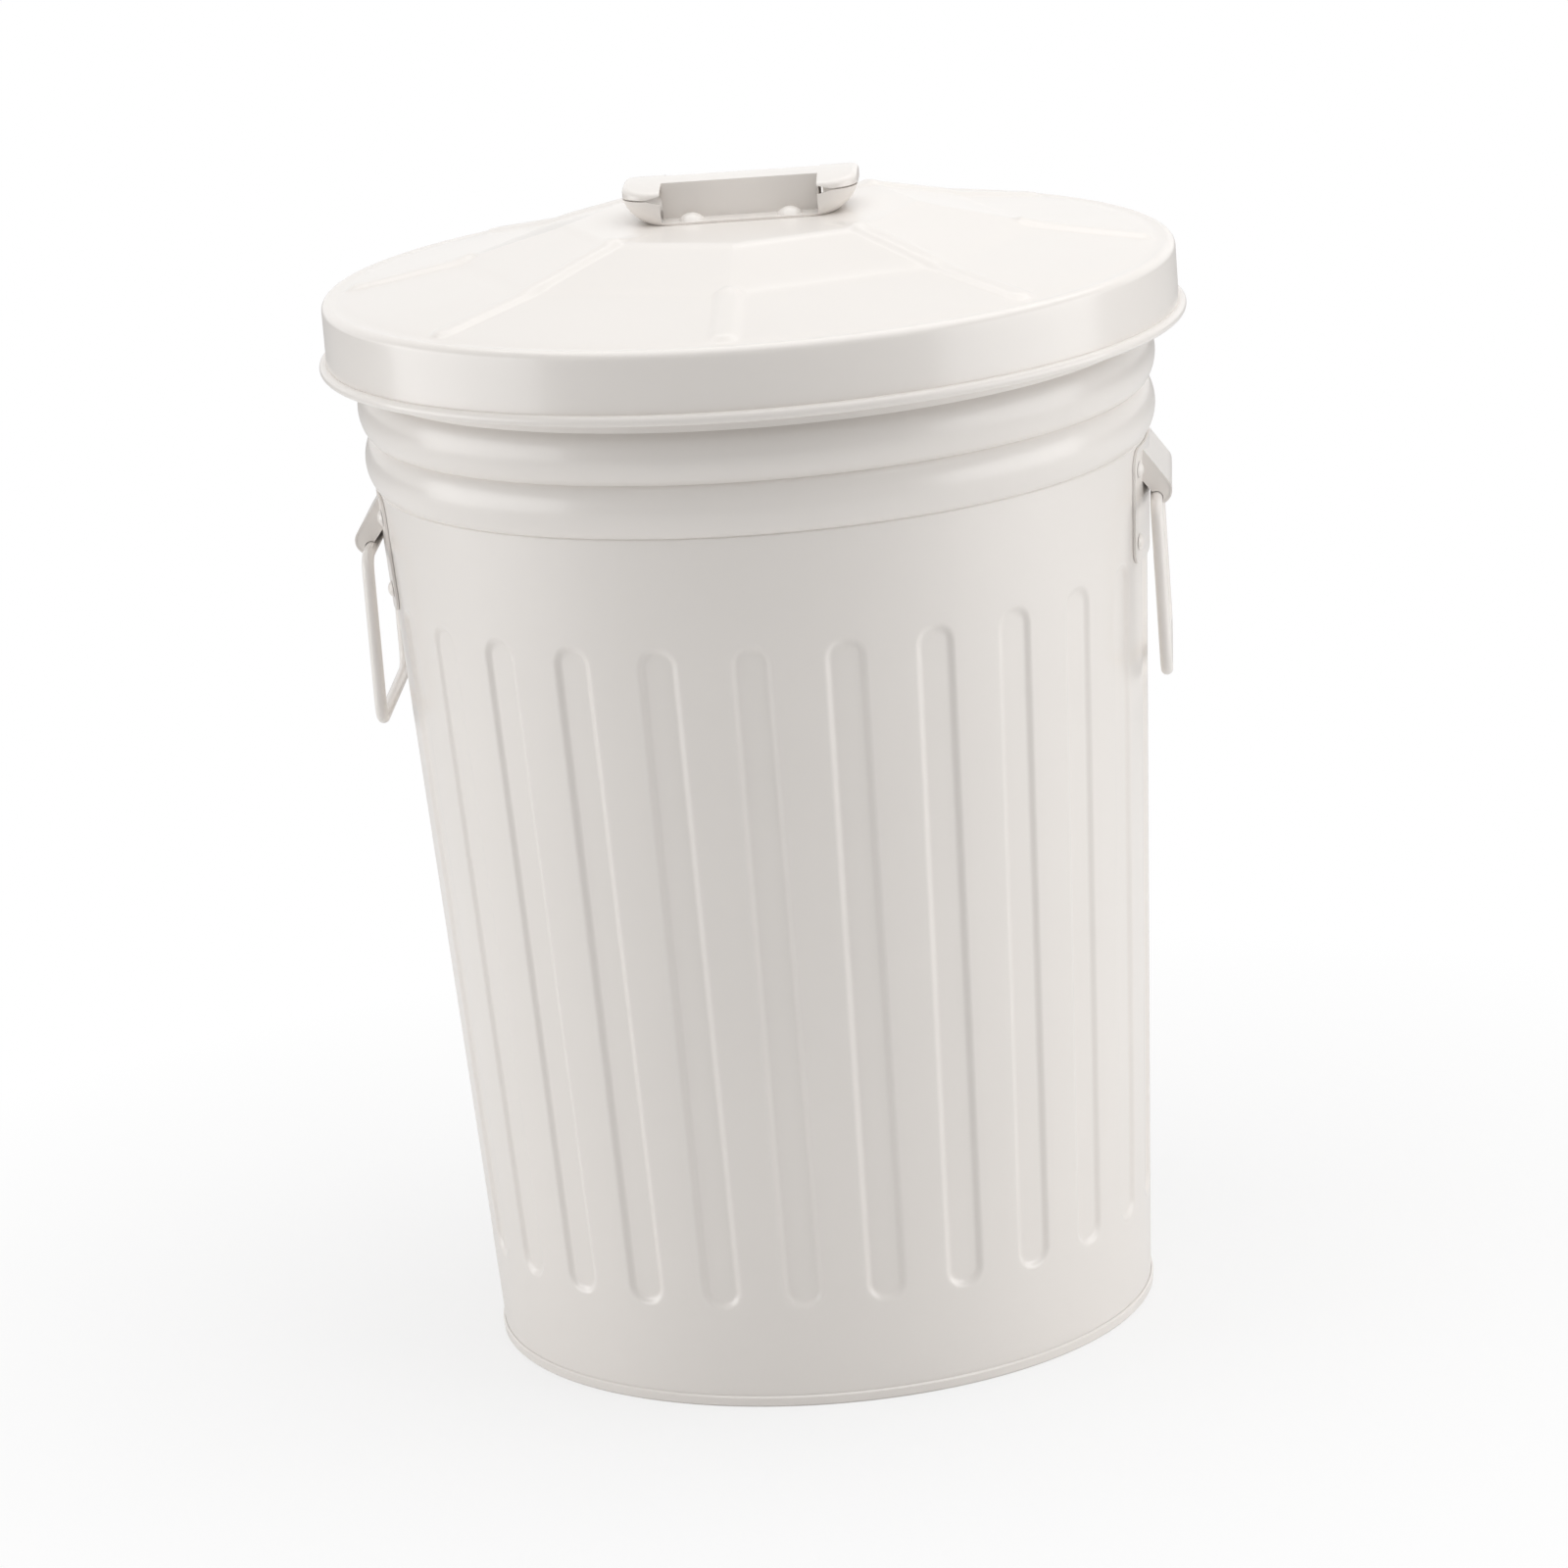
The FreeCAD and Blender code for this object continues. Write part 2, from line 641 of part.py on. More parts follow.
def lid_shell():
    """The pressed lid: facets, ribs, skirt and curled edge."""
    skirt_end = CURL_CENTRE_HEIGHT + LID_CURL_TUBE - LID_SHEET - PAINT_GAP
    outside = lid_form(0, skirt_end)
    inside = lid_form(LID_SHEET, skirt_end - 2 * LID_SKIRT_DROP)
    opened = V(0, 0, skirt_end - LID_SKIRT_DROP + LID_SHEET)
    below = Part.makeCylinder(LID_RADIUS - LID_SHEET, LID_SKIRT_DROP, opened)
    sheet = outside.cut(inside).cut(below)
    bore = LID_CURL_TUBE - LID_SHEET
    curl = tube_ring(CURL_CENTRE_RADIUS, CURL_CENTRE_HEIGHT, LID_CURL_TUBE, bore)
    return sheet.fuse(curl).cut(grip_rivet_holes())


def lid_edge_wire():
    return Part.makeTorus(CURL_CENTRE_RADIUS, LID_CURL_WIRE / 2, V(0, 0, CURL_CENTRE_HEIGHT))


# ---- grip on the lid ---------------------------------------------------------

def recess_boxes():
    """The two finger recesses, in front of and behind the web."""
    end = -RECESS_LENGTH / 2
    low = LID_TOP + GRIP_SHEET
    starts = (-WEB_DEPTH / 2 - GRIP_DEPTH, WEB_DEPTH / 2)
    return [Part.makeBox(RECESS_LENGTH, GRIP_DEPTH, GRIP_HEIGHT, V(end, start, low)) for start in starts]


def seam_notches():
    """Wedges that open the seam where it meets each recess."""
    seam = LID_TOP + GRIP_SEAM_HEIGHT + GRIP_SEAM_GAP / 2
    edge = RECESS_LENGTH / 2
    wedges = []
    for sign in (-1, 1):
        section = polygon_face([
            V(sign * (edge - 1), -GRIP_DEPTH, seam - NOTCH_HEIGHT / 2),
            V(sign * (edge - 1), -GRIP_DEPTH, seam + NOTCH_HEIGHT / 2),
            V(sign * (edge + NOTCH_LENGTH), -GRIP_DEPTH, seam),
        ])
        wedges.append(section.extrude(V(0, 2 * GRIP_DEPTH, 0)))
    return wedges


def tray_form(inset, low, high):
    """The boat-shaped lower half of the grip, moved inwards by inset."""
    levels = [
        (GRIP_FOOT_INSET, 0.0),
        (GRIP_BULGE_INSET, GRIP_BULGE_HEIGHT / GRIP_SEAM_HEIGHT),
        ((0.0, 0.0), 1.0),
    ]
    wires = []
    for (along, across), share in levels:
        half_x = GRIP_LENGTH / 2 - inset - along
        half_y = GRIP_DEPTH / 2 - inset - across
        height = low + share * (high - low)
        wires.append(rounded_wire(half_x, half_y, GRIP_CORNER - inset - across, height))
    return Part.makeLoft(wires, True, False)


def lid_handle_tray():
    """The lower half of the grip, riveted to the lid."""
    seam = LID_TOP + GRIP_SEAM_HEIGHT
    outside = tray_form(0, LID_TOP, seam)
    inside = tray_form(GRIP_SHEET, LID_TOP + GRIP_SHEET, seam + GRIP_SHEET)
    tray = outside.cut(inside)
    return tray.cut(recess_boxes() + seam_notches() + grip_rivet_holes())


def crowned(block, top):
    """A block whose top is rounded to the grip's crown."""
    start = V(-GRIP_LENGTH, 0, top - GRIP_CROWN_RADIUS)
    crown = Part.makeCylinder(GRIP_CROWN_RADIUS, 2 * GRIP_LENGTH, start, V(1, 0, 0))
    return block.common(crown)


def top_edges(shape, height):
    """Edges of the crowned top face's border."""
    faces = [face for face in shape.Faces if face.CenterOfMass.z > height]
    top = max(faces, key=lambda face: face.Area)
    return top.Edges


def lid_handle_grip():
    """The upper half of the grip, with the web that the fingers pinch."""
    low = LID_TOP + GRIP_SEAM_HEIGHT + GRIP_SEAM_GAP
    top = LID_TOP + GRIP_HEIGHT
    half_x = GRIP_LENGTH / 2
    half_y = GRIP_DEPTH / 2
    outside = crowned(rounded_block(half_x, half_y, GRIP_CORNER, low, top + 1), top)
    outside = outside.makeFillet(GRIP_EDGE_ROUND, top_edges(outside, low + GRIP_SHEET))
    inner_corner = GRIP_CORNER - GRIP_SHEET
    inside = rounded_block(half_x - GRIP_SHEET, half_y - GRIP_SHEET, inner_corner, low - 1, top)
    inside = crowned(inside, top - GRIP_SHEET)
    cap = outside.cut(inside).cut(recess_boxes())
    foot = LID_TOP + GRIP_SHEET
    web_top = top - GRIP_SHEET
    walls = []
    for edge in (-WEB_DEPTH / 2, WEB_DEPTH / 2 - GRIP_SHEET):
        corner = V(-RECESS_LENGTH / 2, edge, foot)
        walls.append(Part.makeBox(RECESS_LENGTH, GRIP_SHEET, web_top - foot, corner))
    return joined(cap.cut(seam_notches()), *walls)


def lid_handle_rivets():
    """Four rivets through the tray, the lid and the washers."""
    grip = GRIP_SHEET + LID_SHEET + WASHER_SHEET
    solids = []
    for place in grip_rivet_places():
        piece = rivet(grip=grip, **GRIP_RIVET)
        piece.translate(place + UP * GRIP_SHEET)
        solids.append(piece)
    return Part.makeCompound(solids)


def lid_handle_washers():
    """Washers between the lid and the rivets' tails."""
    solids = []
    for place in grip_rivet_places():
        low = place - UP * (LID_SHEET + WASHER_SHEET)
        disc = Part.makeCylinder(WASHER_RADIUS, WASHER_SHEET, low)
        solids.append(disc.cut(grip_rivet_holes()))
    return Part.makeCompound(solids)


# ---- build ------------------------------------------------------------------

NODES = {
    "body_shell": body_shell,
    "rim_wire": rim_wire,
    "base_pan": base_pan,
    "left_handle_plate": lambda: handle_plate(-1),
    "right_handle_plate": lambda: handle_plate(1),
    "left_plate_rivets": lambda: plate_rivets(-1),
    "right_plate_rivets": lambda: plate_rivets(1),
    "left_bail": lambda: bail(-1),
    "right_bail": lambda: bail(1),
    "lid_shell": lid_shell,
    "lid_edge_wire": lid_edge_wire,
    "lid_handle_tray": lid_handle_tray,
    "lid_handle_grip": lid_handle_grip,
    "lid_handle_rivets": lid_handle_rivets,
    "lid_handle_washers": lid_handle_washers,
}

os.makedirs("parts", exist_ok=True)
for name, make in NODES.items():
    shape = make()
    box = shape.optimalBoundingBox(False)
    print(f"{name}: {len(shape.Solids)} solid(s), valid {shape.isValid()}, volume {shape.Volume:.0f}, "
          f"z {box.ZMin:.2f} to {box.ZMax:.2f}, x {box.XMin:.2f} to {box.XMax:.2f}")
    shape.exportStep(f"parts/{name}.step")
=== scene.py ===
import math

import bpy
import numpy as np
from mathutils import Matrix, Vector


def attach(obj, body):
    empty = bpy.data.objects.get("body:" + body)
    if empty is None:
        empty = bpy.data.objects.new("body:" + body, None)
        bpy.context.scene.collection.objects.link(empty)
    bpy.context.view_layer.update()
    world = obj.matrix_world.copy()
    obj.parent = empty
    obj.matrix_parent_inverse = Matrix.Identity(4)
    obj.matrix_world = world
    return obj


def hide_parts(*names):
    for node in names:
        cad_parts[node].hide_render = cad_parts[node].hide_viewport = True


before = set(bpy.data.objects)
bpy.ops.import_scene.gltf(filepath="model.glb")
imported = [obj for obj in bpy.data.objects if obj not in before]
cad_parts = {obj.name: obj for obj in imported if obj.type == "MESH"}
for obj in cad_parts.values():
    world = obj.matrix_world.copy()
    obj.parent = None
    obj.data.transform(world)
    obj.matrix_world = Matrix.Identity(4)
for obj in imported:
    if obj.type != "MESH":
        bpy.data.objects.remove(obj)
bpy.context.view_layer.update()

# A round powder-coated steel bin with a lift-off lid. Sizes are in millimetres
# and every mesh is scaled to metres as it is made. +Z is up, the side handles
# are at -X and +X, and the photograph looks along +Y, a little from +X.
MM = 0.001

# ---- sizes of the pressed sheet pieces ---------------------------------------

SHEET = 0.8

FOOT_RADIUS = 137.2
WALL_TAPER = 0.058
WALL_LOW = 0.85
BEADS_START = 367.0
BEAD_COUNT = 2
BEAD_HEIGHT = 21.5
BEAD_PROUD = 3.6
CREASE_DEPTH = 0.5            # of the sharp fold below each bead
NECK_START = BEADS_START + BEAD_COUNT * BEAD_HEIGHT
NECK_BOW = 0.3                # share of the set-out reached at half the neck's height
RIM_TUBE = 3.5
RIM_SET_OUT = 4.2
RIM_CENTRE_HEIGHT = 440.0
RIM_WALL_RADIUS = FOOT_RADIUS + WALL_TAPER * NECK_START + RIM_SET_OUT
RIM_CURL_ANGLES = (-142.0, 180.0)

FLUTE_COUNT = 26
FLUTE_LOW = 41.5
FLUTE_HIGH = 323.0
FLUTE_HALF_WIDTH = 9.0
FLUTE_FLOOR_HALF_WIDTH = 5.2
FLUTE_DEPTH = 1.6

LID_SIDES = 8
LID_RADIUS = 175.0
GROOVE_RADIUS = 168.0
GROOVE_HEIGHT = 444.6
SHOULDER_ROUND = 3.5
SHOULDER_RISE = 0.4           # the lid's rises are all above the groove
SHOULDER_HEIGHT = GROOVE_HEIGHT + SHOULDER_RISE
LID_EDGE_RADIUS = 163.0
LID_EDGE_RISE = 1.4
LID_RING_RADII = (120.0, 113.0)
LID_RING_RISES = (9.3, 11.6)
LID_TOP_RADII = (76.0, 72.0)
LID_TOP_RISES = (20.9, 22.4)
LID_TOP_HEIGHT = GROOVE_HEIGHT + LID_TOP_RISES[1]
LID_CORNER_CUTS = (0, 2.0, 2.0, 3.0, 3.0, 4.0, 3.0, 0)    # from the middle outward
MOST_CUT = 0.49               # of a side, that one rounded corner may take
CURL_TUBE = 2.3
CURL_CENTRE = (175.7, 418.0)
LID_CURL_ANGLES = (107.0, -229.0)
RIB_HALF_WIDTH = 7.4
RIB_FLAT_SHARE = 0.3          # of the half width, flat on top
RIB_PROUD = 1.6
RIB_OUTER_END = 160.0

# Hoods over the top bars of the drop handles, in radius and height.
HOOD_HALF_LENGTH = 30.0
HOOD_CENTRE = (161.66, 346.59)
HOOD_BORE = 5.1
HOOD_ROUND_ANGLES = (35.0, -70.0)
HOOD_ROOF = ((165.8, 349.5), (156.5, 362.7))
HOOD_AT_PLATE = (155.8, 351.0)
PIVOT = (161.07, 343.5)
WIRE_CLEARANCE = 2.8
WIRE_CUT_ANGLES = (-35.0, 120.0)
CHEEK_SHEET = 1.0

# ---- rows and columns of the meshes --------------------------------------------

ROWS_UNDER_FLUTES = (WALL_LOW, 1.6, 3.0, 5.0, 8.0, 14.0, 22.0, 32.0, 38.0)
ROWS_OVER_FLUTES = (328.0, 334.0, 342.0, 350.0, 357.0, 362.0, 365.0, 366.4)
FLUTE_END_STEP = 0.7          # between the rows at a flute's end
FLUTE_END_REACH = 12.0        # how far those rows run into the flute
FLUTE_END_MARGINS = (1.0, 1.5)    # and past its lower and upper end
FLUTE_MIDDLE_GAP = 4.0        # from those rows to the wider ones between the ends
FLUTE_MIDDLE_ROWS = 26
FLUTE_COLUMNS = (0.0, 0.9, 1.6, 1.9, 2.15, 2.4, 2.65, 2.9, 3.15, 3.4, 3.65, 4.0, 4.6, 5.6)
BEAD_SAMPLES = 17
NECK_SAMPLES = 14
RIM_CURL_SAMPLES = 30

LID_STRAIGHT_ROWS = (8, 2, 30, 3, 34, 2, 3)    # on the straights, from the middle outward
BEND_SAMPLES = 5
SHOULDER_SAMPLES = 9
SKIRT_ROWS = (436.0, 430.0, 425.0, 421.5)
LID_CURL_SAMPLES = 34
RIB_COLUMN_STEP = 0.45        # degrees between columns on a rib
RIB_COLUMNS_END = 6.0
FACET_COLUMNS_START = 6.6
FACET_COLUMNS = 18
HOOD_ROUND_SAMPLES = 13
WIRE_CUT_SAMPLES = 16


# ---- mesh helpers -------------------------------------------------------------

def wall_radius(height):
    return FOOT_RADIUS + WALL_TAPER * height


def smooth_step(value):
    value = np.clip(value, 0.0, 1.0)
    return value * value * value * (value * (value * 6 - 15) + 10)


def link_mesh(name, vertices, faces, sharp_angle=30.0):
    """A smooth-shaded object from points in millimetres."""
    mesh = bpy.data.meshes.new(name)
    mesh.from_pydata((np.asarray(vertices) * MM).tolist(), [], faces)
    mesh.validate()
    mesh.shade_smooth()
    mesh.set_sharp_from_angle(angle=math.radians(sharp_angle))
    obj = bpy.data.objects.new(name, mesh)
    bpy.context.scene.collection.objects.link(obj)
    return obj


def ring_faces(rows, columns, close_rows):
    """Quads over a grid of rows that each close into a ring."""
    faces = []
    last = rows if close_rows else rows - 1
    for row in range(last):
        here = row * columns
        there = (row + 1) % rows * columns
        for column in range(columns):
            beside = (column + 1) % columns
            faces.append((here + column, here + beside, there + beside, there + column))
    return faces


def arc_points(centre, radius, start, end, count):
    """Points of an arc in a radius-height section, angles in degrees."""
    angles = np.radians(np.linspace(start, end, count))
    return [(centre[0] + radius * math.cos(a), centre[1] + radius * math.sin(a)) for a in angles]


def three_point_arc(start, middle, end, count):
    """Points of the arc through three section points."""
    (x1, y1), (x2, y2), (x3, y3) = start, middle, end
    d = 2 * (x1 * (y2 - y3) + x2 * (y3 - y1) + x3 * (y1 - y2))
    s1, s2, s3 = x1 * x1 + y1 * y1, x2 * x2 + y2 * y2, x3 * x3 + y3 * y3
    cx = (s1 * (y2 - y3) + s2 * (y3 - y1) + s3 * (y1 - y2)) / d
    cy = (s1 * (x3 - x2) + s2 * (x1 - x3) + s3 * (x2 - x1)) / d
    radius = math.hypot(x1 - cx, y1 - cy)
    first = math.degrees(math.atan2(y1 - cy, x1 - cx))
    last = math.degrees(math.atan2(y3 - cy, x3 - cx))
    return arc_points((cx, cy), radius, first, last, count)


def rounded_path(points, cuts):
    """A section path whose inner corners are rounded, each over its own cut length."""
    points = [np.array(point, dtype=float) for point in points]
    path = [points[0]]
    for index in range(1, len(points) - 1):
        before, here, after = points[index - 1:index + 2]
        cut = cuts[index]
        if cut <= 0:
            path.append(here)
            continue
        start = here + (before - here) * min(MOST_CUT, cut / np.linalg.norm(before - here))
        end = here + (after - here) * min(MOST_CUT, cut / np.linalg.norm(after - here))
        for share in np.linspace(0, 1, BEND_SAMPLES):
            rest = 1 - share
            path.append(start * rest ** 2 + here * 2 * share * rest + end * share ** 2)
    path.append(points[-1])
    return path


# ---- wall ---------------------------------------------------------------------

def wall_heights():
    """Heights of the rows up the straight part of the wall."""
    under, over = FLUTE_END_MARGINS
    low_end = np.arange(FLUTE_LOW - under, FLUTE_LOW + FLUTE_END_REACH, FLUTE_END_STEP)
    high_end = np.arange(FLUTE_HIGH - FLUTE_END_REACH, FLUTE_HIGH + over, FLUTE_END_STEP)
    middle_low = low_end[-1] + FLUTE_MIDDLE_GAP
    middle_high = high_end[0] - FLUTE_MIDDLE_GAP
    return np.concatenate([
        ROWS_UNDER_FLUTES,
        low_end,
        np.linspace(middle_low, middle_high, FLUTE_MIDDLE_ROWS),
        high_end,
        ROWS_OVER_FLUTES,
    ])


def wall_section():
    """The closed section of the wall, in radius and height: up outside, round, down inside."""
    outer = [(wall_radius(z), z) for z in wall_heights()]
    swage = []
    for index in range(BEAD_COUNT):
        low = BEADS_START + index * BEAD_HEIGHT
        middle = low + BEAD_HEIGHT / 2
        high = low + BEAD_HEIGHT
        bead = three_point_arc(
            (wall_radius(low), low),
            (wall_radius(middle) + BEAD_PROUD, middle),
            (wall_radius(high), high),
            BEAD_SAMPLES,
        )
        swage.append((wall_radius(low) - CREASE_DEPTH, low))
        swage += bead[1:-1]
    neck_start = (wall_radius(NECK_START), NECK_START)
    neck_end = (RIM_WALL_RADIUS, RIM_CENTRE_HEIGHT - RIM_TUBE)
    half_height = (NECK_START + neck_end[1]) / 2
    neck_middle = (wall_radius(half_height) + RIM_SET_OUT * NECK_BOW, half_height)
    neck = three_point_arc(neck_start, neck_middle, neck_end, NECK_SAMPLES)
    outside = outer + swage + [neck_start] + neck[1:-1]
    curl_centre = (RIM_WALL_RADIUS - SHEET + RIM_TUBE, RIM_CENTRE_HEIGHT)
    curl = arc_points(curl_centre, RIM_TUBE, *RIM_CURL_ANGLES, RIM_CURL_SAMPLES)
    inside = [(radius - SHEET, height) for radius, height in reversed(outside)]
    return outside + curl + inside[1:]


def flute_columns():
    """Angles of the columns round the wall, closer together on the sides of the flutes."""
    step = 360.0 / FLUTE_COUNT
    mirrored = [-angle for angle in reversed(FLUTE_COLUMNS[1:])]
    sector = [*mirrored, *FLUTE_COLUMNS, step / 2]
    return np.array([index * step + angle for index in range(FLUTE_COUNT) for angle in sector])


def flute_sink(angle, radius, height):
    """How deep the flutes sink the wall at each point."""
    step = 360.0 / FLUTE_COUNT
    offset = (angle + step / 2) % step - step / 2
    across = radius * np.sin(np.radians(offset))
    low = FLUTE_LOW + FLUTE_HALF_WIDTH
    high = FLUTE_HIGH - FLUTE_HALF_WIDTH
    beyond = np.maximum(0, low - height) + np.maximum(0, height - high)
    distance = np.hypot(across, beyond)
    slope = (distance - FLUTE_FLOOR_HALF_WIDTH) / (FLUTE_HALF_WIDTH - FLUTE_FLOOR_HALF_WIDTH)
    return FLUTE_DEPTH * (1 - smooth_step(slope))


def wall_mesh():
    section = np.array(wall_section())
    angles = flute_columns()
    radius = section[:, 0][:, None]
    height = section[:, 1][:, None]
    sunk = radius - flute_sink(angles[None, :], radius, height)
    turn = np.radians(angles)[None, :]
    x = sunk * np.sin(turn)
    y = -sunk * np.cos(turn)
    z = np.broadcast_to(height, x.shape)
    vertices = np.stack([x, y, z], axis=-1).reshape(-1, 3)
    faces = ring_faces(len(section), len(angles), True)
    return link_mesh("wall", vertices, faces)


# ---- lid ----------------------------------------------------------------------

def facet_share(angle):
    """How far in a flat side lies, against its corners, at an angle."""
    sector = 360.0 / LID_SIDES
    offset = angle % sector - sector / 2
    return math.cos(math.radians(sector / 2)) / math.cos(math.radians(offset))


def lid_path(angle):
    """The lid's upper surface at one angle, from its middle to the skirt, in short steps."""
    share = facet_share(angle)
    corners = [
        (0.0, LID_TOP_HEIGHT),
        (LID_TOP_RADII[1] * share, LID_TOP_HEIGHT),
        (LID_TOP_RADII[0] * share, GROOVE_HEIGHT + LID_TOP_RISES[0]),
        (LID_RING_RADII[1] * share, GROOVE_HEIGHT + LID_RING_RISES[1]),
        (LID_RING_RADII[0] * share, GROOVE_HEIGHT + LID_RING_RISES[0]),
        (LID_EDGE_RADIUS, GROOVE_HEIGHT + LID_EDGE_RISE),
        (GROOVE_RADIUS, GROOVE_HEIGHT),
        (LID_RADIUS - SHOULDER_ROUND, SHOULDER_HEIGHT),
    ]
    path = rounded_path(corners, LID_CORNER_CUTS)
    counts = [LID_STRAIGHT_ROWS[0]]
    for rows in LID_STRAIGHT_ROWS[1:]:
        counts += [1] * (BEND_SAMPLES - 1) + [rows]
    dense = []
    for start, end, count in zip(path, path[1:], counts):
        dense += [tuple(start + (end - start) * part / count) for part in range(count)]
    dense.append(tuple(path[-1]))
    return dense


def lid_border():
    """Shoulder, skirt and curl, the same at every angle, from the top down and back up inside."""
    bend = (LID_RADIUS - SHOULDER_ROUND, SHOULDER_HEIGHT - SHOULDER_ROUND)
    shoulder = arc_points(bend, SHOULDER_ROUND, 90, 0, SHOULDER_SAMPLES)[1:]
    skirt = [(LID_RADIUS, height) for height in SKIRT_ROWS]
    curl = arc_points(CURL_CENTRE, CURL_TUBE, *LID_CURL_ANGLES, LID_CURL_SAMPLES)
    inside = [(LID_RADIUS - SHEET, height) for height in reversed(SKIRT_ROWS)]
    inner_shoulder = arc_points(bend, SHOULDER_ROUND - SHEET, 0, 90, SHOULDER_SAMPLES)[:-1]
    return shoulder + skirt + curl + inside + inner_shoulder


def rib_rise(angle, radius):
    """How far the ribs lift the lid at each point."""
    sector = 360.0 / LID_SIDES
    index = np.round(angle / sector)
    offset = np.radians(angle - index * sector)
    along = radius * np.cos(offset)
    across = radius * np.sin(offset)
    ring = (LID_RING_RADII[0] + LID_RING_RADII[1]) / 2
    inner_end = np.where(index % 2 == 1, LID_TOP_RADII[1], ring)
    beyond = np.maximum(0, along - RIB_OUTER_END) + np.maximum(0, inner_end - along)
    share = np.hypot(across, beyond) / RIB_HALF_WIDTH
    return RIB_PROUD * (1 - smooth_step((share - RIB_FLAT_SHARE) / (1 - RIB_FLAT_SHARE)))


def lid_columns():
    """Angles of the columns round the lid, closer together on the ribs."""
    step = 360.0 / LID_SIDES
    on_rib = np.arange(0, RIB_COLUMNS_END, RIB_COLUMN_STEP)
    on_facet = np.linspace(FACET_COLUMNS_START, step / 2, FACET_COLUMNS)
    half = np.concatenate([on_rib, on_facet])
    sector = np.concatenate([-half[::-1][1:-1], half])
    return np.concatenate([sector + index * step for index in range(LID_SIDES)])


def lid_mesh():
    angles = lid_columns()
    border = lid_border()
    columns = []
    for angle in angles:
        top = lid_path(angle)[1:]
        under = [(radius, height - SHEET) for radius, height in reversed(top)]
        columns.append(top + border + under)
    grid = np.array(columns).transpose(1, 0, 2)
    radius = grid[:, :, 0]
    inside_shoulder = radius < LID_RADIUS - SHOULDER_ROUND + 0.01
    height = grid[:, :, 1] + rib_rise(angles[None, :], radius) * inside_shoulder
    turn = np.radians(angles)[None, :]
    vertices = np.stack([radius * np.sin(turn), -radius * np.cos(turn), height], axis=-1)
    rows, count = radius.shape
    vertices = vertices.reshape(-1, 3)
    faces = ring_faces(rows, count, False)
    top_middle = len(vertices)
    vertices = np.vstack([vertices, [0, 0, LID_TOP_HEIGHT], [0, 0, LID_TOP_HEIGHT - SHEET]])
    last = (rows - 1) * count
    for column in range(count):
        beside = (column + 1) % count
        faces.append((top_middle, beside, column))
        faces.append((top_middle + 1, last + column, last + beside))
    return link_mesh("lid", vertices, faces)


# ---- hood ends ----------------------------------------------------------------

def hood_cheek(side, end):
    """The sheet that closes one end of a hood, cut out round the wire."""
    round_part = arc_points(HOOD_CENTRE, HOOD_BORE, *HOOD_ROUND_ANGLES, HOOD_ROUND_SAMPLES)
    round_wire = arc_points(PIVOT, WIRE_CLEARANCE, *WIRE_CUT_ANGLES, WIRE_CUT_SAMPLES)
    outline = [HOOD_AT_PLATE, HOOD_ROOF[1], HOOD_ROOF[0]] + round_part[1:] + round_wire
    count = len(outline)
    outer = end * HOOD_HALF_LENGTH
    inner = end * (HOOD_HALF_LENGTH - CHEEK_SHEET)
    vertices = [(side * radius, y, z) for y in (outer, inner) for radius, z in outline]
    faces = [tuple(range(count)), tuple(range(2 * count - 1, count - 1, -1))]
    for index in range(count):
        beside = (index + 1) % count
        faces.append((index, index + count, beside + count, beside))
    if side * end > 0:
        faces = [face[::-1] for face in faces]
    return link_mesh("hood_cheek", vertices, faces)


# ---- materials ----------------------------------------------------------------

def node_tools(owner):
    """Shader node helpers for one material or world."""
    owner.use_nodes = True
    nodes = owner.node_tree.nodes
    links = owner.node_tree.links
    nodes.clear()

    def add(kind, **values):
        node = nodes.new(kind)
        for key, value in values.items():
            setattr(node, key, value)
        return node

    return add, links.new


def powder_coat(name, colour, roughness=0.30):
    """Smooth baked paint: faint orange peel, and a little unevenness in tone and gloss."""
    material = bpy.data.materials.new(name)
    add, link = node_tools(material)
    place = add("ShaderNodeTexCoord")
    shader = add("ShaderNodeBsdfPrincipled")
    output = add("ShaderNodeOutputMaterial")

    cloud = add("ShaderNodeTexNoise")
    cloud.inputs["Scale"].default_value = 14.0
    cloud.inputs["Detail"].default_value = 3.0
    tone = add("ShaderNodeValToRGB")
    tone.color_ramp.elements[0].position = 0.3
    tone.color_ramp.elements[1].position = 0.7
    tone.color_ramp.elements[0].color = (*[channel * 0.985 for channel in colour], 1)
    tone.color_ramp.elements[1].color = (*colour, 1)

    gloss = add("ShaderNodeTexNoise")
    gloss.inputs["Scale"].default_value = 60.0
    gloss.inputs["Detail"].default_value = 4.0
    gloss_range = add("ShaderNodeMapRange")
    gloss_range.inputs["To Min"].default_value = roughness - 0.04
    gloss_range.inputs["To Max"].default_value = roughness + 0.04

    peel = add("ShaderNodeTexNoise")
    peel.inputs["Scale"].default_value = 700.0
    peel.inputs["Detail"].default_value = 1.5
    bump = add("ShaderNodeBump")
    bump.inputs["Strength"].default_value = 0.035
    bump.inputs["Distance"].default_value = 0.0004

    for texture in (cloud, gloss, peel):
        link(place.outputs["Object"], texture.inputs["Vector"])
    link(cloud.outputs["Fac"], tone.inputs["Fac"])
    link(tone.outputs["Color"], shader.inputs["Base Color"])
    link(gloss.outputs["Fac"], gloss_range.inputs["Value"])
    link(gloss_range.outputs["Result"], shader.inputs["Roughness"])
    link(peel.outputs["Fac"], bump.inputs["Height"])
    link(bump.outputs["Normal"], shader.inputs["Normal"])
    link(shader.outputs["BSDF"], output.inputs["Surface"])
    shader.inputs["Coat Weight"].default_value = 0.25
    shader.inputs["Coat Roughness"].default_value = 0.12
    return material


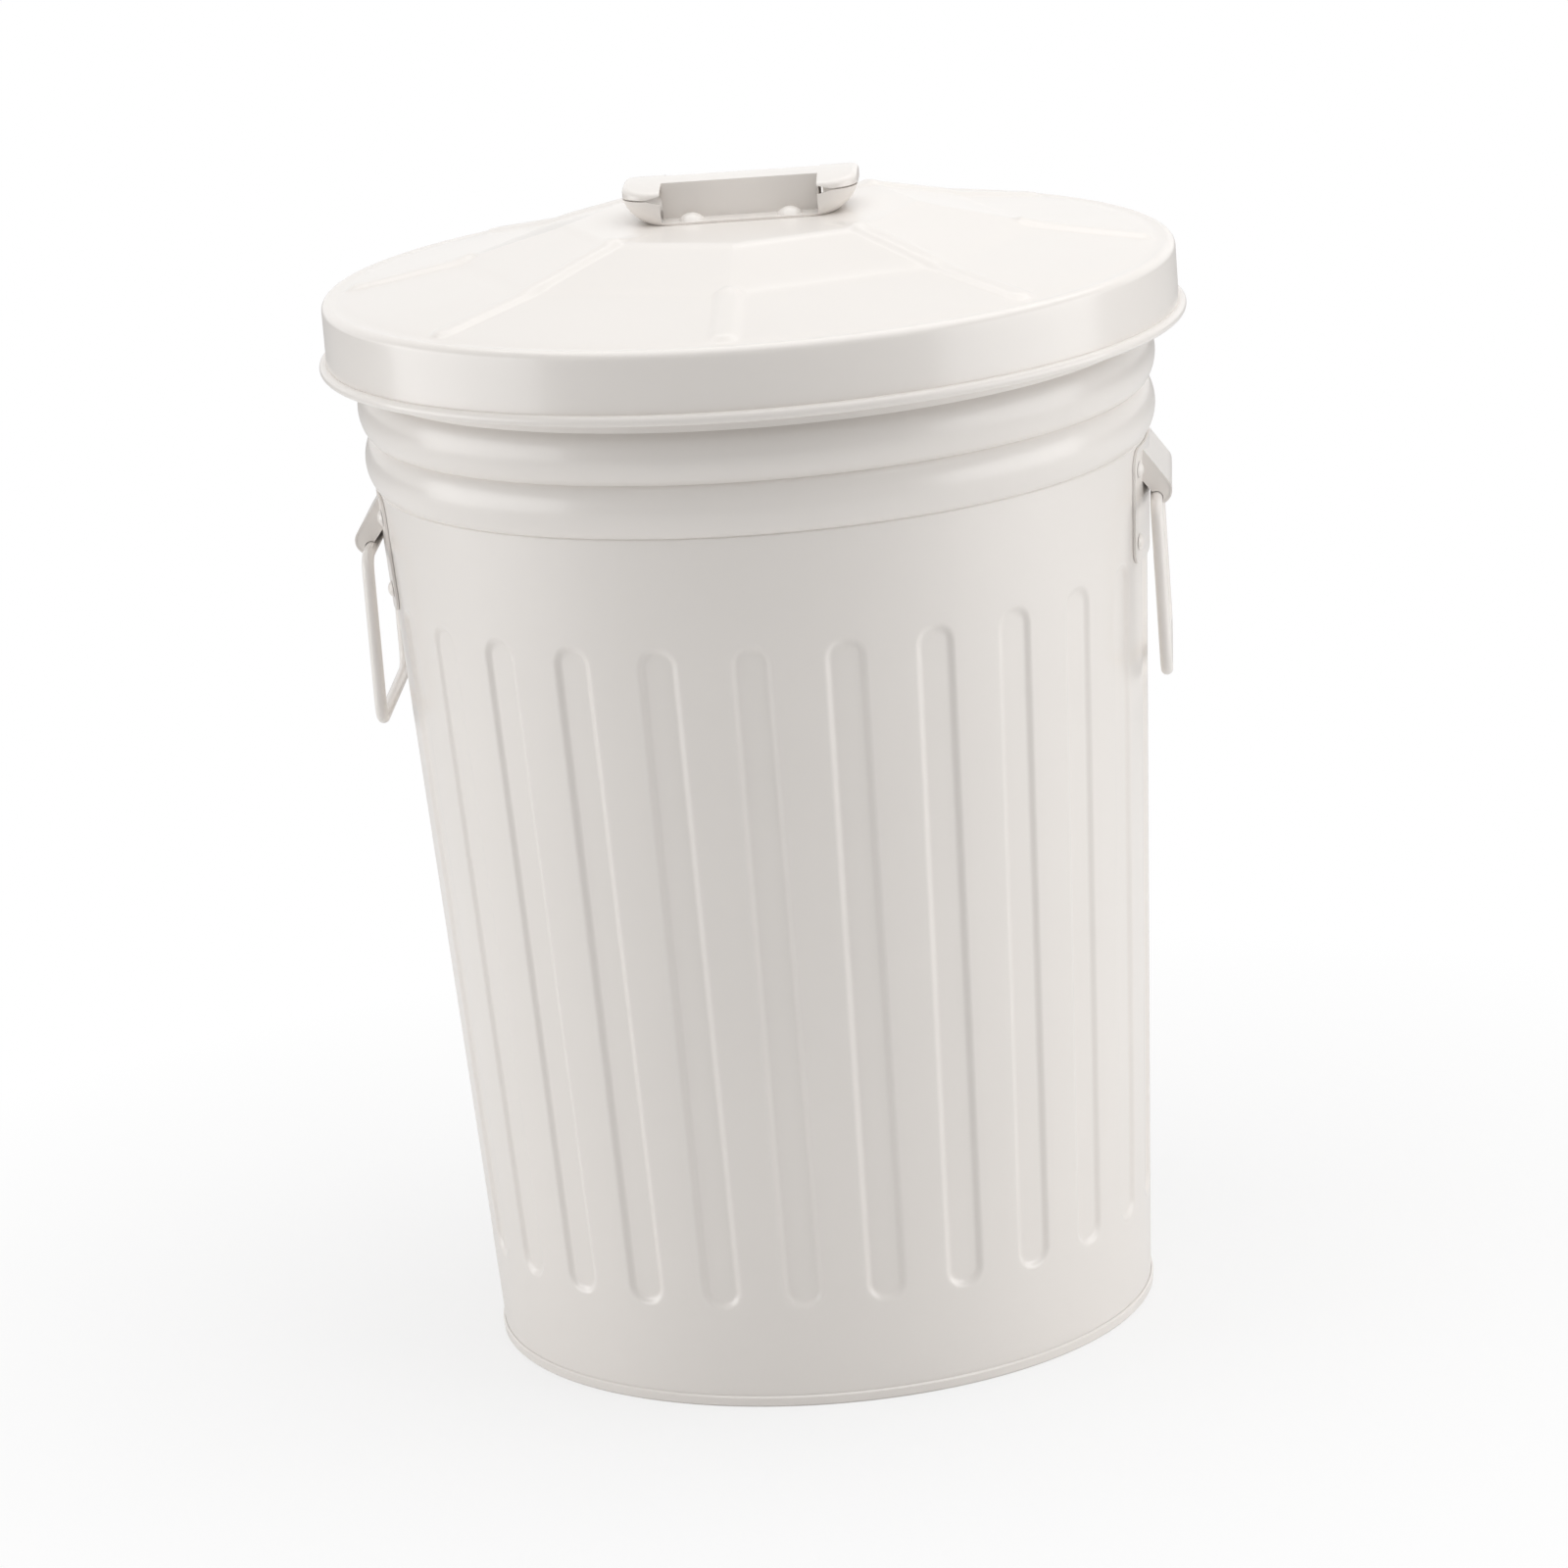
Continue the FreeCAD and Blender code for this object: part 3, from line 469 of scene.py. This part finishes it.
def bare_steel(name):
    """Drawn steel wire."""
    material = bpy.data.materials.new(name)
    add, link = node_tools(material)
    place = add("ShaderNodeTexCoord")
    shader = add("ShaderNodeBsdfPrincipled")
    output = add("ShaderNodeOutputMaterial")
    grain = add("ShaderNodeTexNoise")
    grain.inputs["Scale"].default_value = 400.0
    grain_range = add("ShaderNodeMapRange")
    grain_range.inputs["To Min"].default_value = 0.3
    grain_range.inputs["To Max"].default_value = 0.5
    link(place.outputs["Object"], grain.inputs["Vector"])
    link(grain.outputs["Fac"], grain_range.inputs["Value"])
    link(grain_range.outputs["Result"], shader.inputs["Roughness"])
    link(shader.outputs["BSDF"], output.inputs["Surface"])
    shader.inputs["Base Color"].default_value = (0.55, 0.55, 0.55, 1)
    shader.inputs["Metallic"].default_value = 1.0
    return material


def set_material(obj, material):
    obj.data.materials.clear()
    obj.data.materials.append(material)


# ---- studio -------------------------------------------------------------------

def white_floor():
    """A white floor that keeps a soft shadow around the foot."""
    bpy.ops.mesh.primitive_plane_add(size=14.0, location=(0, 0, 0))
    floor = bpy.context.object
    floor.name = "floor"
    material = bpy.data.materials.new("floor_white")
    add, link = node_tools(material)
    diffuse = add("ShaderNodeBsdfDiffuse")
    diffuse.inputs["Color"].default_value = (0.9, 0.9, 0.9, 1)
    glow = add("ShaderNodeEmission")
    glow.inputs["Color"].default_value = (1, 1, 1, 1)
    glow.inputs["Strength"].default_value = 1.0
    place = add("ShaderNodeTexCoord")
    distance = add("ShaderNodeVectorMath", operation="LENGTH")
    spread = add("ShaderNodeMapRange")
    spread.inputs["From Min"].default_value = 0.12
    spread.inputs["From Max"].default_value = 0.55
    spread.inputs["To Min"].default_value = 0.6
    spread.inputs["To Max"].default_value = 1.0
    path = add("ShaderNodeLightPath")
    share = add("ShaderNodeMath", operation="MULTIPLY")
    mix = add("ShaderNodeMixShader")
    output = add("ShaderNodeOutputMaterial")
    link(place.outputs["Object"], distance.inputs[0])
    link(distance.outputs["Value"], spread.inputs["Value"])
    link(spread.outputs["Result"], share.inputs[0])
    link(path.outputs["Is Camera Ray"], share.inputs[1])
    link(share.outputs[0], mix.inputs[0])
    link(diffuse.outputs[0], mix.inputs[1])
    link(glow.outputs[0], mix.inputs[2])
    link(mix.outputs[0], output.inputs["Surface"])
    floor.data.materials.append(material)


def soft_world(level):
    """A pale room that the camera and reflections see as white."""
    world = bpy.data.worlds.new("room")
    bpy.context.scene.world = world
    add, link = node_tools(world)
    path = add("ShaderNodeLightPath")
    room = add("ShaderNodeBackground")
    room.inputs["Color"].default_value = (1, 1, 1, 1)
    room.inputs["Strength"].default_value = level
    white = add("ShaderNodeBackground")
    white.inputs["Color"].default_value = (1, 1, 1, 1)
    white.inputs["Strength"].default_value = 1.0
    seen = add("ShaderNodeMath", operation="MAXIMUM")
    mix = add("ShaderNodeMixShader")
    output = add("ShaderNodeOutputWorld")
    link(path.outputs["Is Camera Ray"], seen.inputs[0])
    link(path.outputs["Is Glossy Ray"], seen.inputs[1])
    link(seen.outputs[0], mix.inputs[0])
    link(room.outputs[0], mix.inputs[1])
    link(white.outputs[0], mix.inputs[2])
    link(mix.outputs[0], output.inputs["Surface"])


def soft_box(name, place, aim, size, watts):
    """A rectangular area lamp that looks at a point."""
    lamp = bpy.data.lights.new(name, "AREA")
    lamp.shape = "RECTANGLE"
    lamp.size, lamp.size_y = size
    lamp.energy = watts
    obj = bpy.data.objects.new(name, lamp)
    bpy.context.scene.collection.objects.link(obj)
    obj.location = place
    direction = Vector(aim) - Vector(place)
    obj.rotation_euler = direction.to_track_quat("-Z", "Y").to_euler()


def photo_camera():
    """The photograph's camera: azimuth, elevation, roll and aim fitted to the object."""
    azimuth = math.radians(4.1)
    elevation = math.radians(10.25)
    roll = math.radians(-4.51)
    distance = 2.8176
    aim = Vector((0, 0, 0.44281))
    focal_pixels = 7007.0
    aim_pixel = (763.14, 275.93)
    image_size = 1600
    place = aim + distance * Vector((0, -math.cos(elevation), math.sin(elevation)))
    forward = Vector((0, math.cos(elevation), -math.sin(elevation)))
    right = Vector((1, 0, 0))
    up = right.cross(forward)
    view = Matrix((right, up, -forward))
    view = Matrix.Rotation(-roll, 3, "Z") @ view
    pan = math.atan((aim_pixel[0] - image_size / 2) / focal_pixels)
    tilt = math.atan((image_size / 2 - aim_pixel[1]) / focal_pixels)
    view = Matrix.Rotation(-pan, 3, "Y") @ view
    view = Matrix.Rotation(tilt, 3, "X") @ view
    spin = Matrix.Rotation(azimuth, 4, "Z")
    data = bpy.data.cameras.new("camera")
    sensor_width = 36.0
    data.lens = focal_pixels * sensor_width / image_size
    data.sensor_width = sensor_width
    data.clip_end = 50.0
    camera = bpy.data.objects.new("camera", data)
    bpy.context.scene.collection.objects.link(camera)
    camera.matrix_world = spin @ Matrix.Translation(place) @ view.transposed().to_4x4()
    bpy.context.scene.camera = camera


# ---- assembly -----------------------------------------------------------------

coat = powder_coat("off_white_coat", (0.84, 0.80, 0.76))
steel = bare_steel("bare_wire")

HIDDEN_WIRES = ("rim_wire", "lid_edge_wire")
for name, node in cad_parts.items():
    set_material(node, steel if name in HIDDEN_WIRES else coat)

wall = wall_mesh()
set_material(wall, coat)
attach(wall, "bin")
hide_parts("body_shell")

lid = lid_mesh()
set_material(lid, coat)
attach(lid, "lid")
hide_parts("lid_shell")

for side in (-1, 1):
    for end in (-1, 1):
        cheek = hood_cheek(side, end)
        set_material(cheek, coat)
        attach(cheek, "bin")

white_floor()
soft_world(0.27)
soft_box("top_box", (0.2, 0.0, 1.8), (0, 0, 0.4), (2.4, 2.4), 28.0)
soft_box("left_box", (-1.6, -0.35, 0.4), (0, 0, 0.3), (1.6, 0.8), 10.5)
soft_box("right_box", (1.6, -0.35, 0.4), (0, 0, 0.3), (1.6, 0.8), 9.5)
photo_camera()
bpy.context.scene.view_settings.view_transform = "Standard"
